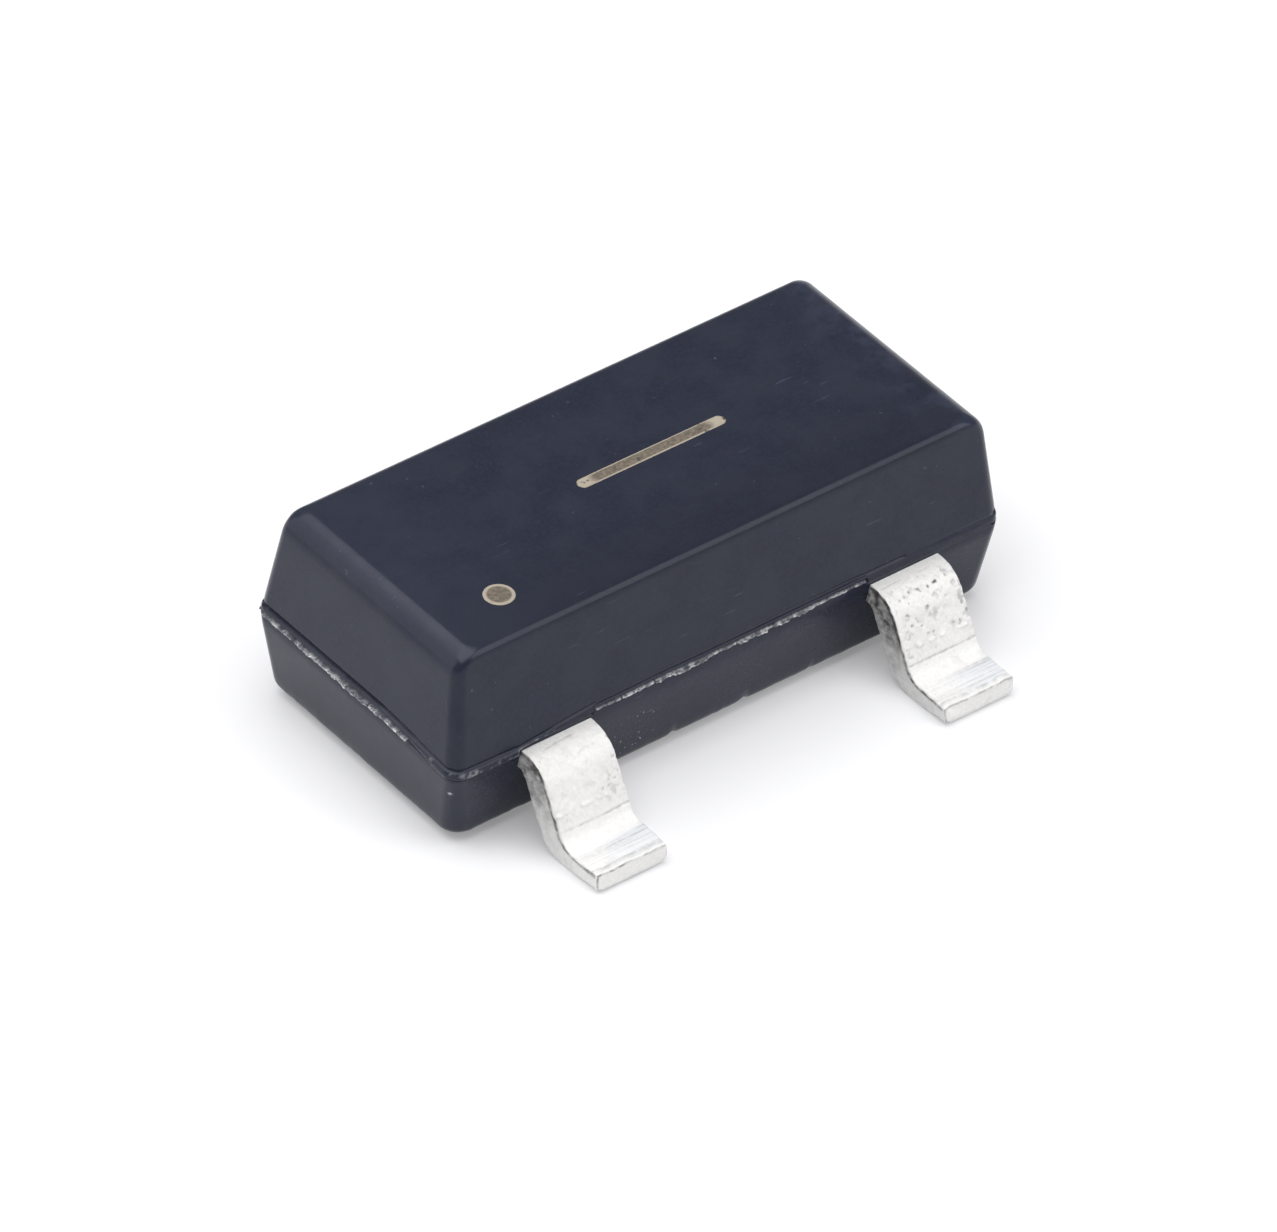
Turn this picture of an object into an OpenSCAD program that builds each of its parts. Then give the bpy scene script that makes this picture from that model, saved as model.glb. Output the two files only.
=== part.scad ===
// Three-lead small-outline transistor: a moulded body on a bent lead frame, with its die and bond wires.
// Millimetres. X runs along the body, the side with two leads faces -Y, and Z = 0 is the board.

/* [Moulded body] */
// Length of the body at its parting line
body_length = 3.00; // [2.80:0.01:3.04]
// Width of the body at its parting line
body_width = 1.40; // [1.20:0.01:1.44]
// Height of the body from its underside to its top
body_height = 0.97; // [0.86:0.005:1.02]
// Gap between the underside of the body and the board
standoff = 0.03; // [0.01:0.005:0.10]
// Draft angle of the two ends above the parting line
end_draft = 6.5; // [2:0.5:10]
// Draft angle of the two long sides above the parting line
side_draft = 9; // [2:0.5:12]
// Draft angle all round below the parting line
lower_draft = 7; // [2:0.5:10]
// Radius of the edges at the two ends of the top
top_end_radius = 0.12; // [0.04:0.01:0.14]
// Radius of the edges along the two long sides of the top
top_side_radius = 0.05; // [0.03:0.01:0.10]
// Radius of the edge round the underside
bottom_edge_radius = 0.06; // [0.02:0.01:0.08]
// Radius of the upright corners at the parting line
corner_radius = 0.07; // [0.03:0.01:0.12]
// Radius of the upright corners at the top, seen from above
top_corner_radius = 0.04; // [0.02:0.01:0.10]
// Radius of the upright corners at the underside, seen from below
bottom_corner_radius = 0.09; // [0.04:0.01:0.14]
// Height of the lip that the mould leaves on the parting line
lip_height = 0.05; // [0.02:0.005:0.06]
// How far the lip stands out from the body
lip_reach = 0.02; // [0.005:0.005:0.03]

/* [Leads] */
// Spacing of the two front leads, centre to centre
lead_pitch = 1.90; // [1.78:0.01:2.04]
// Width of a lead
lead_width = 0.38; // [0.30:0.01:0.50]
// Thickness of the lead frame strip
lead_thickness = 0.10; // [0.08:0.005:0.14]
// Thickness of a lead across its sloping shank, where the bends gather the metal
shank_thickness = 0.145; // [0.08:0.005:0.16]
// Height of the upper face of the lead frame above the board
lead_level = 0.425; // [0.38:0.005:0.50]
// Straight run of a lead between the body and its first bend
shoulder_run = 0.03; // [0.01:0.01:0.10]
// Slope of the shank from level
shank_angle = 60; // [50:1:80]
// Radius of the first bend on its outer face
shoulder_radius = 0.17; // [0.10:0.01:0.24]
// Radius of the first bend on its inner face
armpit_radius = 0.045; // [0.02:0.005:0.06]
// Radius of the second bend on its upper face
instep_radius = 0.09; // [0.04:0.01:0.12]
// Radius of the second bend on its underside
heel_radius = 0.15; // [0.08:0.01:0.20]
// Length of the foot from the bend to the tip, along its upper face
foot_length = 0.225; // [0.18:0.005:0.40]
// How far the sheared tip leans out at its lower edge
tip_lean = 0.01; // [0.01:0.005:0.04]
// Radius of the lower edge of the tip
tip_radius = 0.03; // [0.01:0.005:0.04]

/* [Lead frame inside the body] */
// Cover of mould compound between a bond post and the end of the body
post_end_cover = 0.28; // [0.20:0.01:0.34]
// Cover of mould compound between a bond post and the front of the body
post_side_cover = 0.16; // [0.10:0.01:0.20]
// Depth of a bond post from front to back
post_depth = 0.32; // [0.24:0.01:0.40]
// Reach of a bond post from the middle of its lead towards the die paddle
post_reach = 0.27; // [0.20:0.01:0.34]
// Gap in the lead frame between a bond post and the die paddle
frame_gap = 0.16; // [0.12:0.01:0.24]
// Cover of mould compound between the die paddle and the sides of the body
paddle_cover = 0.26; // [0.20:0.01:0.32]
// Radius of the corners of the posts and the paddle
frame_corner_radius = 0.05; // [0.02:0.01:0.08]

/* [Die and bond wires] */
// Side of the square silicon die
die_side = 0.40; // [0.28:0.01:0.50]
// Thickness of the silicon die
die_height = 0.15; // [0.10:0.01:0.20]
// Thickness of the die attach layer
attach_thickness = 0.02; // [0.01:0.005:0.03]
// How far the die attach shows round the die
attach_margin = 0.03; // [0.01:0.005:0.06]
// Distance of a bond pad from the middle of the die, in X
pad_offset = 0.10; // [0.06:0.01:0.12]
// Diameter of a bond wire
wire_diameter = 0.025; // [0.018:0.001:0.05]
// Diameter of the ball bond on the die
ball_diameter = 0.07; // [0.06:0.005:0.09]
// Height of the ball bond on the die
ball_height = 0.02; // [0.015:0.005:0.03]
// Rise of a wire's loop above the ball bond
loop_rise = 0.13; // [0.10:0.01:0.20]
// Length of wire pressed flat on the post
stitch_length = 0.08; // [0.06:0.01:0.12]

/* [Hidden] */

// Colours
epoxy_colour = [0.22, 0.23, 0.28];
tin_colour = [0.90, 0.89, 0.88];
attach_colour = [0.55, 0.56, 0.58];
silicon_colour = [0.38, 0.40, 0.46];
gold_colour = [0.90, 0.72, 0.32];

// Smoothness of the moulded edges and corners, of the bends and of the wires
edge_steps = 6;
corner_steps = 5;
arc_steps = 10;
wire_sides = 8;
loop_steps = 20;
// Small step along a wire's loop, for its slope
slope_step = 0.001;

body_top = standoff + body_height;
// Thickness of the level slices that shape a moulded half
slice_height = 0.001;
// Upright land of each half beside the parting line
seam_land = lip_height / 2;
front_y = body_width / 2;
lead_x = lead_pitch / 2;
inner_x = lead_x - post_reach;
paddle_half_length = inner_x - frame_gap;
paddle_half_width = front_y - paddle_cover;
post_outer_x = body_length / 2 - post_end_cover;
post_outer_y = front_y - post_side_cover;
post_inner_y = post_outer_y - post_depth;
attach_side = die_side + 2 * attach_margin;
die_base = lead_level + attach_thickness;
die_top = die_base + die_height;

// The two faces of a lead's shank, as the height's place across the body
bend_angle = shank_angle / 2;
shoulder_y = front_y + shoulder_run + shoulder_radius * tan(bend_angle);
function upper_face_y(z) = shoulder_y + (lead_level - z) / tan(shank_angle);
function lower_face_y(z) = upper_face_y(z) - shank_thickness / sin(shank_angle);
tip_y = upper_face_y(lead_thickness) + foot_length;

// Arc that rounds one corner of an outline, no larger than its shorter edge allows
function corner_arc(before, corner, after, radius, steps) =
    let (
        back = (before - corner) / norm(before - corner),
        ahead = (after - corner) / norm(after - corner),
        half_angle = acos(back * ahead) / 2,
        shorter = min(norm(before - corner), norm(after - corner)),
        used = min(radius, shorter / 2 * tan(half_angle)),
        centre = corner + (back + ahead) / norm(back + ahead) * used / sin(half_angle),
        from_centre = corner + back * used / tan(half_angle) - centre,
        start = atan2(from_centre.y, from_centre.x),
        side = sign(ahead.x * back.y - ahead.y * back.x),
        turn = side * (180 - 2 * half_angle)
    )
    [for (i = [0:steps])
        let (angle = start + turn * i / steps)
        centre + used * [cos(angle), sin(angle)]];

// Outline with each corner rounded to its own radius
function rounded_outline(corners, radii, steps = arc_steps) =
    let (count = len(corners))
    [for (i = [0:count - 1])
        each radii[i] == 0
            ? [corners[i]]
            : corner_arc(
                corners[(i + count - 1) % count], corners[i], corners[(i + 1) % count], radii[i], steps
            )];

function rectangle(low, high) = [[low.x, low.y], [high.x, low.y], [high.x, high.y], [low.x, high.y]];

// Side view of a lead from inside the body to its tip, outwards along +Y
lead_profile = rounded_outline(
    [
        [-front_y, lead_level],
        [-front_y, lead_level - lead_thickness],
        [lower_face_y(lead_level - lead_thickness), lead_level - lead_thickness],
        [lower_face_y(0), 0],
        [tip_y + tip_lean, 0],
        [tip_y, lead_thickness],
        [upper_face_y(lead_thickness), lead_thickness],
        [shoulder_y, lead_level]
    ],
    [0, 0, armpit_radius, heel_radius, tip_radius, 0, instep_radius, shoulder_radius]
);

// Plate with rounded corners
module plate(low, high, base, height, radius, steps = arc_steps) {
    translate([0, 0, base])
        linear_extrude(height = height)
            polygon(rounded_outline(rectangle(low, high), [radius, radius, radius, radius], steps));
}

// How far a drafted wall with a rounded far edge lies inside its foot, at a height above the parting line
function wall_inset(z, height, draft, radius) =
    let (
        arc_start = height - radius * (1 - sin(draft)),
        arc_centre = arc_start * tan(draft) + radius * cos(draft),
        rise = z - height + radius
    )
    z <= arc_start ? z * tan(draft) : arc_centre - sqrt(max(radius * radius - rise * rise, 0));

// Heights of the slices that carry a rounded far edge
function edge_heights(height, draft, radius) = [
    for (i = [0:edge_steps])
        height - radius * (1 - sin(draft + (90 - draft) * i / edge_steps))
];

// One half of the moulding, rising from the parting line at Z = 0: a skin over level slices.
// Drafts and radii are those of the ends and of the sides.
module moulded_half(height, drafts, radii, far_corner) {
    foot = [body_length, body_width] / 2;
    hull() {
        plate(-foot, foot, 0, seam_land, corner_radius, corner_steps);
        for (side = [0, 1], z = edge_heights(height, drafts[side], radii[side])) {
            half_size = [
                for (i = [0, 1])
                    foot[i] - wall_inset(z, height, drafts[i], radii[i])
            ];
            corner = corner_radius + (far_corner - corner_radius) * z / height;
            plate(-half_size, half_size, z - slice_height, slice_height, corner, corner_steps);
        }
    }
}

// Lip round the parting line, on the upper half
module parting_lip() {
    corner = [body_length / 2 + lip_reach, body_width / 2 + lip_reach];
    plate(-corner, corner, lead_level, lip_height, corner_radius + lip_reach);
}

module moulding() {
    translate([0, 0, lead_level])
        moulded_half(
            body_top - lead_level, [end_draft, side_draft],
            [top_end_radius, top_side_radius], top_corner_radius
        );
    translate([0, 0, lead_level])
        mirror([0, 0, 1])
            moulded_half(
                lead_level - standoff, [lower_draft, lower_draft],
                [bottom_edge_radius, bottom_edge_radius], bottom_corner_radius
            );
    parting_lip();
}

// Strip bent to the lead's side view, as wide as the body
module bent_strip() {
    rotate([90, 0, 90])
        linear_extrude(height = body_length, center = true)
            polygon(lead_profile);
}

// Outer part of a lead, in plan
module lead_run(inner_y) {
    translate([-lead_width / 2, inner_y, 0])
        cube([lead_width, tip_y + tip_lean - inner_y, lead_level]);
}

// Lead with its bond post, outwards along +Y and with the paddle towards +X
module post_lead() {
    intersection() {
        bent_strip();
        union() {
            lead_run((post_inner_y + post_outer_y) / 2);
            plate(
                [lead_x - post_outer_x, post_inner_y], [post_reach, post_outer_y],
                0, lead_level, frame_corner_radius
            );
        }
    }
}

// Lead with the die paddle, outwards along +Y
module paddle_lead() {
    corner = [paddle_half_length, paddle_half_width];
    intersection() {
        bent_strip();
        union() {
            lead_run(0);
            plate(-corner, corner, 0, lead_level, frame_corner_radius);
        }
    }
}

// Middle line of a bond wire, as distance from the die pad and height, from the ball bond to the stitch
wire_radius = wire_diameter / 2;
flat_height = wire_radius * cos(180 / wire_sides);
wire_end = [lead_x - pad_offset, (post_inner_y + post_outer_y) / 2];
wire_span = norm(wire_end);
wire_angle = atan2(wire_end.y, wire_end.x);
ball_top = die_top + ball_height;
stitch_z = lead_level + flat_height;
// Share of the span at which a wire heads down for its post, and how far its lift overshoots the loop
landing_share = 0.65;
lift_ratio = 4 / 3;
loop_from = [0, ball_top];
loop_lift = [0, ball_top + loop_rise * lift_ratio];
loop_land = [wire_span * landing_share, stitch_z + loop_rise];
loop_to = [wire_span - stitch_length, stitch_z];
function loop_point(t) =
    pow(1 - t, 3) * loop_from + 3 * pow(1 - t, 2) * t * loop_lift
    + 3 * (1 - t) * t * t * loop_land + pow(t, 3) * loop_to;

// Rings of a bond wire: place along the wire, height, slope and radius
function ring(place, slope, radius) = [
    for (i = [0:wire_sides - 1])
        let (around = (2 * i + 1) * 180 / wire_sides)
        [
            place.x - radius * cos(around) * sin(slope),
            radius * sin(around),
            place.y + radius * cos(around) * cos(slope)
        ]
];

function loop_slope(t) =
    let (step = loop_point(t + slope_step) - loop_point(t - slope_step))
    atan2(step.y, step.x);

ball_radius = ball_diameter / 2;
wire_rings = concat(
    [
        ring([0, die_top], 90, ball_radius),
        ring([0, ball_top], 90, ball_radius)
    ],
    [for (i = [0:loop_steps - 1])
        let (t = i / loop_steps)
        ring(loop_point(t), i == 0 ? 90 : loop_slope(t), wire_radius)],
    [
        ring(loop_to, 0, wire_radius),
        ring([wire_span, stitch_z], 0, wire_radius)
    ]
);

// Skin over a row of rings, closed at both ends
module swept_rings(rings) {
    sides = len(rings[0]);
    last = len(rings) - 1;
    walls = [
        for (r = [0:last - 1], i = [0:sides - 1])
            let (here = r * sides, above = here + sides, next = (i + 1) % sides)
            [here + i, here + next, above + next, above + i]
    ];
    start_cap = [for (i = [sides - 1:-1:0]) i];
    end_cap = [for (i = [0:sides - 1]) last * sides + i];
    polyhedron(points = [for (r = rings) each r], faces = concat([start_cap, end_cap], walls));
}

// Bond wire to the post on the +X side, before it is turned to the front
module bond_wire() {
    translate([pad_offset, 0, 0])
        rotate([0, 0, -wire_angle])
            swept_rings(wire_rings);
}

module mould_body() {
    color(epoxy_colour)
        difference() {
            moulding();
            base_lead();
            emitter_lead();
            collector_lead();
            die_attach();
            silicon_die();
            base_bond_wire();
            emitter_bond_wire();
        }
}

module emitter_lead() {
    color(tin_colour)
        mirror([1, 0, 0])
            base_lead();
}

module base_lead() {
    color(tin_colour)
        translate([-lead_x, 0, 0])
            mirror([0, 1, 0])
                post_lead();
}

module collector_lead() {
    color(tin_colour)
        paddle_lead();
}

module die_attach() {
    corner = [attach_side / 2, attach_side / 2];
    color(attach_colour)
        plate(-corner, corner, lead_level, attach_thickness, attach_margin);
}

module silicon_die() {
    color(silicon_colour)
        translate([-die_side / 2, -die_side / 2, die_base])
            cube([die_side, die_side, die_height]);
}

module emitter_bond_wire() {
    color(gold_colour)
        bond_wire();
}

module base_bond_wire() {
    color(gold_colour)
        mirror([1, 0, 0])
            bond_wire();
}

mould_body();
base_lead();
emitter_lead();
collector_lead();
die_attach();
silicon_die();
base_bond_wire();
emitter_bond_wire();
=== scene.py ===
"""Looks of a three-lead small-outline transistor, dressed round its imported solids.

Shapes are worked out in millimetres in the part's own frame and are scaled to metres when a mesh is made.
"""

import math
from collections import namedtuple

import bpy
import numpy as np
from mathutils import Matrix, Vector


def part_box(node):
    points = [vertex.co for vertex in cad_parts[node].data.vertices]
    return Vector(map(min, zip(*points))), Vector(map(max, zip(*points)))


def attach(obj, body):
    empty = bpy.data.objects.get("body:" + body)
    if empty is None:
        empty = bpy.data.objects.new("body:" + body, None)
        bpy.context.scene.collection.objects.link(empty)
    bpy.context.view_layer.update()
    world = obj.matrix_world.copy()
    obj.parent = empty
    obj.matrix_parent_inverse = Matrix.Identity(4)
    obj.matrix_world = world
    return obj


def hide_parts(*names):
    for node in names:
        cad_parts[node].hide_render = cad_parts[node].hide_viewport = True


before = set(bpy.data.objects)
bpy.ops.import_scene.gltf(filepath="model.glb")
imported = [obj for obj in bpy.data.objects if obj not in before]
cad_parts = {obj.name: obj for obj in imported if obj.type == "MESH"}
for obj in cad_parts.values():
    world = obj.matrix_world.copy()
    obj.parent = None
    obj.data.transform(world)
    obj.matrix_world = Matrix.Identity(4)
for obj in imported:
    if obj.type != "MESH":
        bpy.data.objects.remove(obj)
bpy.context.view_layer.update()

MM = 0.001
RANDOM_SEED = 23


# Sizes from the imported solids
def box_mm(node):
    low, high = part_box(node)
    return np.array(low) / MM, np.array(high) / MM


body_low, body_high = box_mm("mould_body")
base_low, base_high = box_mm("base_lead")
paddle_low, paddle_high = box_mm("collector_lead")
lead_level = base_high[2]
tip_reach = paddle_high[1]

# Sizes of the moulded body
lip_reach = 0.02
half_length = body_high[0] - lip_reach
half_width = body_high[1] - lip_reach
body_bottom = body_low[2]
mark_height = 0.003
body_top = body_high[2] - mark_height
end_draft = math.radians(6.5)
side_draft = math.radians(9.0)
lower_draft = math.radians(7.0)
top_end_radius = 0.12
top_side_radius = 0.05
bottom_edge_radius = 0.06
seam_corner_radius = 0.07
top_corner_radius = 0.05
bottom_corner_radius = 0.09

# Seam of the mould, from the flash up to the crease above the lip
seam_base = 0.398
seam_step = 0.001
crease_top = 0.494
crease_height = 0.014
crease_depth = 0.014
groove_height = 0.009
groove_depth = 0.010
lead_gap = 0.012
lead_gap_level = 0.436
lead_gap_depth = 0.016
opening_blend = 0.006
flash_reach = 0.012
flash_least = 0.003
far_flash_depth = 0.012
far_flash_tone = 0.45
plain_lip_reach = 0.006
plain_lip_height = 0.012
least_lip_height = 0.004
corner_speck_level = 0.318
corner_speck_run = 0.035
corner_speck_size = 0.007

# Lengths along the seam of its tears, breaks and waves
coarse_tear = 0.045
fine_tear = 0.014
flash_grain = 0.012
flash_break = 0.030
lip_wave_length = 0.06
crease_wave_length = 0.25
far_breaks_per_mm = 6

# Height of the crease along the front from left to right, and along the left end from front to back
FRONT_CREASE = ((-1.50, 0.459), (-1.16, 0.449), (-0.74, 0.486), (0.74, 0.486), (1.16, 0.484), (1.50, 0.484))
LEFT_CREASE = ((-0.70, 0.459), (-0.45, 0.472), (-0.20, 0.491), (0.70, 0.492))
back_crease = 0.486

# Torn flash: start and end along its side, depth at both, and how bright it broke
FRONT_FLASH = (
    (-0.74, -0.60, 0.003, 0.005, 0.70),
    (-0.60, -0.42, 0.006, 0.009, 0.90),
    (-0.42, -0.13, 0.011, 0.022, 0.85),
    (-0.13, 0.03, 0.005, 0.006, 0.95),
    (0.03, 0.20, 0.009, 0.019, 1.00),
    (0.19, 0.24, 0.004, 0.004, 0.70),
    (0.23, 0.42, 0.015, 0.010, 1.00),
    (0.41, 0.74, 0.006, 0.004, 0.80),
)
LEFT_FLASH = (
    (-0.37, -0.10, 0.004, 0.007, 1.00),
    (-0.10, 0.16, 0.013, 0.009, 1.00),
    (0.16, 0.42, 0.007, 0.006, 1.00),
    (0.42, 0.66, 0.005, 0.005, 0.95),
)

# Chips on the lower front edge: place along it, half length and depth
EDGE_CHIPS = ((-0.27, 0.022, 0.022), (0.14, 0.026, 0.028), (0.52, 0.016, 0.014))

# Sizes of the leads
lead_pitch = 1.90
lead_x = lead_pitch / 2
lead_width = 0.38
lead_thickness = 0.10
shank_thickness = 0.145
shoulder_run = 0.03
shank_angle = math.radians(60)
shoulder_radius = 0.17
armpit_radius = 0.045
instep_radius = 0.09
heel_radius = 0.15
foot_length = 0.225
tip_lean = 0.01
tip_radius = 0.03
post_depth = 0.32
post_side_cover = 0.16
frame_corner_radius = 0.05
burr_radius = 0.010
lower_edge_radius = 0.020
tip_corner_radius = 0.045
tip_rim_radius = 0.009
side_flare = 0.010

# Camera of the photograph, in degrees, millimetres and pixels of the whole frame
camera_azimuth = -40.209
camera_elevation = 39.6426
camera_roll = 3.0919
camera_distance = 61.929
pixels_per_mm = 232.837
picture_width = 1277
picture_height = 1232
aim_height = 0.5
aim_pixel = (631.097, 552.331)
sensor_width = 36.0


# Repeatable smooth noise
random = np.random.default_rng(RANDOM_SEED)
LATTICE = 64
noise_table = random.random((LATTICE, LATTICE))
row_shift_across = 17.31
row_shift_along = 5.77
row_shift_broken = 11.9


def ease(share):
    """Share from 0 to 1 that starts and ends gently."""
    return share * share * (3 - 2 * share)


def smooth_noise(across, along=0.0, row=0):
    """Smooth noise from 0 to 1 over one or two coordinates; row picks an independent pattern."""
    across = np.asarray(across, float) + row_shift_across * row
    along = np.asarray(along, float) + row_shift_along * row
    across, along = np.broadcast_arrays(across, along)
    column = np.floor(across).astype(int)
    line = np.floor(along).astype(int)
    across_share = ease(across - column)
    along_share = ease(along - line)
    sides = []
    for step in (0, 1):
        here = noise_table[(column + step) % LATTICE, line % LATTICE]
        there = noise_table[(column + step) % LATTICE, (line + 1) % LATTICE]
        sides.append(here * (1 - along_share) + there * along_share)
    return sides[0] * (1 - across_share) + sides[1] * across_share


def broken_noise(place, row=0, sharpness=6.0):
    """Noise from 0 to 1 that stays on a level and then breaks to the next, as a torn edge does."""
    place = np.asarray(place, float) + row_shift_broken * row
    column = np.floor(place).astype(int)
    step = np.clip((place - column - 0.5) * sharpness + 0.5, 0, 1)
    here = noise_table[column % LATTICE, row % LATTICE]
    there = noise_table[(column + 1) % LATTICE, row % LATTICE]
    return here * (1 - step) + there * step


def ramp(value, low, high):
    """0 up to low, 1 from high on, and a gentle rise between them."""
    return ease(np.clip((np.asarray(value, float) - low) / (high - low), 0, 1))


def near(value, place, reach):
    """Bell that is 1 at a place and fades within a reach on both sides."""
    return np.exp(-(((value - place) / reach) ** 2))


def layered_noise(across, along, size, row, layers=3):
    """Noise from 0 to 1 whose finer layers are turned against each other, so that no grid shows."""
    first_turn = 0.6
    turn_step = 1.1
    fading = 0.55
    total = 0.0
    weights = 0.0
    weight = 1.0
    for layer in range(layers):
        turn = first_turn + turn_step * layer
        turned_across = (across * math.cos(turn) - along * math.sin(turn)) / size
        turned_along = (across * math.sin(turn) + along * math.cos(turn)) / size
        total = total + weight * smooth_noise(turned_across, turned_along, row + layer)
        weights += weight
        weight *= fading
        size *= 0.5
    return total / weights


# Meshes
def mesh_object(name, points, faces, attributes=None):
    """Smooth-shaded object from points in millimetres, with named values at its points for its material."""
    mesh = bpy.data.meshes.new(name)
    mesh.from_pydata((np.asarray(points) * MM).tolist(), [], faces)
    for key, values in (attributes or {}).items():
        layer = mesh.attributes.new(key, "FLOAT", "POINT")
        layer.data.foreach_set("value", np.asarray(values, np.float32).ravel())
    mesh.shade_smooth()
    mesh.update()
    piece = bpy.data.objects.new(name, mesh)
    bpy.context.scene.collection.objects.link(piece)
    return piece


def ring_faces(ring_count, ring_size):
    """Quads between rings of points, and a cap on the first and the last."""
    faces = []
    for ring in range(ring_count - 1):
        here = ring * ring_size
        above = here + ring_size
        for i in range(ring_size):
            following = (i + 1) % ring_size
            faces.append((here + i, here + following, above + following, above + i))
    last = (ring_count - 1) * ring_size
    faces.append(tuple(range(ring_size - 1, -1, -1)))
    faces.append(tuple(range(last, last + ring_size)))
    return faces


# Moulded body
long_steps = 430
short_steps = 200
corner_steps = 12


def outline_ring(half_x, half_y, radius):
    """Points of a rounded rectangle and their outward directions, from the front left corner round."""
    points = []
    normals = []
    sides = [
        ((-1, -1), (1, -1), (0, -1), long_steps),
        ((1, -1), (1, 1), (1, 0), short_steps),
        ((1, 1), (-1, 1), (0, 1), long_steps),
        ((-1, 1), (-1, -1), (-1, 0), short_steps),
    ]
    centre = np.array([half_x - radius, half_y - radius])
    for start, end, out, steps in sides:
        share = (np.arange(steps) / steps)[:, None]
        first = np.array(start) * centre
        last = np.array(end) * centre
        points.append(first + (last - first) * share + np.array(out) * radius)
        normals.append(np.tile(np.array(out, float), (steps, 1)))
        turn = math.atan2(out[1], out[0]) + np.arange(corner_steps) / corner_steps * math.pi / 2
        direction = np.stack([np.cos(turn), np.sin(turn)], axis=1)
        points.append(last + direction * radius)
        normals.append(direction)
    return np.concatenate(points), np.concatenate(normals)


seam_points, seam_normals = outline_ring(half_length, half_width, seam_corner_radius)
seam_x, seam_y = seam_points.T
ring_size = len(seam_points)
seam_gap = np.linalg.norm(np.roll(seam_points, -1, axis=0) - seam_points, axis=1)
seam_run = np.cumsum(seam_gap) - seam_gap
on_right, on_back = ramp(seam_normals, 0.6, 0.95).T
on_left, on_front = ramp(-seam_normals, 0.6, 0.95).T
half_opening = lead_width / 2 + lead_gap
from_front_leads = np.abs(np.abs(seam_x) - lead_x) - half_opening
from_back_lead = np.abs(seam_x) - half_opening
beside_front = on_front * ramp(-from_front_leads, -opening_blend, opening_blend)
beside_back = on_back * ramp(-from_back_lead, -opening_blend, opening_blend)
at_lead = np.maximum(beside_front, beside_back)


def torn_flash(place, side, stretches):
    """Depth and brightness round the ring of the flash that one side carries."""
    soft = 0.006
    depth = np.zeros(ring_size)
    tone = np.zeros(ring_size)
    for start, end, first, last, brightness in stretches:
        share = np.clip((place - start) / (end - start), 0, 1)
        inside = side * ramp(place, start, start + soft) * (1 - ramp(place, end - soft, end))
        depth = np.maximum(depth, inside * (first + (last - first) * share))
        tone = np.maximum(tone, inside * brightness)
    return depth, tone


front_depth, front_tone = torn_flash(seam_x, on_front, FRONT_FLASH)
left_depth, left_tone = torn_flash(seam_y, on_left, LEFT_FLASH)
far_breaks = smooth_noise(seam_run * far_breaks_per_mm, row=1)
far_sides = np.maximum(on_back, on_right) * ramp(far_breaks, 0.35, 0.7)
flash_tear = 0.6 * broken_noise(seam_run / coarse_tear, row=3)
flash_tear = flash_tear + 0.4 * broken_noise(seam_run / fine_tear, row=4)
flash_fine = smooth_noise(seam_run / flash_grain, row=5)
flash_depth = np.maximum.reduce([front_depth, left_depth, far_flash_depth * far_sides]) * (1 - at_lead)
flash_depth = flash_depth * (0.45 + flash_tear) * (0.8 + 0.4 * flash_fine)
flash_tone = np.maximum.reduce([front_tone, left_tone, far_flash_tone * far_sides]) * (1 - at_lead)
flash_breaks = ramp(broken_noise(seam_run / flash_break, row=14), 0.20, 0.55)
flash_tone = flash_tone * (0.35 + 0.65 * flash_breaks)
flash_out = ramp(flash_depth, 0, 0.005) * flash_reach * (0.6 + 0.4 * flash_tear)

# Stretches of the ring that differ: the front left corner, the left end, and what lies right of the leads
right_of_leads = on_front * ramp(seam_x - lead_x, 0, 0.02)
front_left = ramp(-seam_y, 0.35, 0.60) * ramp(-seam_x - lead_x, 0, 0.02)
left_end = ramp(-seam_x, half_length - 0.15, half_length - 0.05) * (1 - front_left)
plain_end = np.maximum(on_right, right_of_leads)
beside_lead = on_front * (1 - ramp(from_front_leads, 0, 0.06))

# Lip of the upper half: what each stretch adds to how far it stands out and to how tall it is
LIP_STRETCHES = (
    (front_left, 0.007, 0.024),
    (left_end, 0.001, 0.002),
    (on_back, 0.002, 0.0),
    (plain_end, -0.001, 0.020 + 0.006 * (flash_tear - 0.5)),
)
lip_out = plain_lip_reach
lip_tall = plain_lip_height
for stretch, more_reach, more_height in LIP_STRETCHES:
    lip_out = lip_out + more_reach * stretch
    lip_tall = lip_tall + more_height * stretch
lip_wave = 0.8 + 0.2 * smooth_noise(seam_run / lip_wave_length, row=8) + 0.1 * (flash_fine - 0.5)
lip_out = np.minimum(lip_out * lip_wave, lip_reach) * (1 - 0.4 * at_lead)
groove_tall = groove_height * (1 + 1.4 * left_end)

# Heights of the crease and of the lip below it
front_crease = np.interp(seam_x, *zip(*FRONT_CREASE))
left_crease = np.interp(seam_y, *zip(*LEFT_CREASE))
crease_z = np.where(seam_y < 0, front_crease, back_crease)
crease_z = np.where(on_left > 0.5, left_crease, crease_z)
crease_z = crease_z + 0.004 * (smooth_noise(seam_run / crease_wave_length, row=9) - 0.5)
crease_tall = crease_height * (1 + 0.45 * left_end)
lip_high = crease_z - crease_tall / 2
gap_top = np.minimum(lead_gap_level + groove_height, lip_high - least_lip_height)
lip_low = np.where(at_lead > 0.5, gap_top, lip_high - lip_tall)


def wall_inset(rise, height, draft, radius):
    """How far a drafted wall with a rounded far edge lies inside its foot, at a distance from the seam."""
    arc_start = height - radius * (1 - math.sin(draft))
    if rise <= arc_start:
        return rise * math.tan(draft)
    arc_centre = arc_start * math.tan(draft) + radius * math.cos(draft)
    arc_rise = rise - height + radius
    return arc_centre - math.sqrt(max(radius * radius - arc_rise * arc_rise, 0.0))


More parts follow.
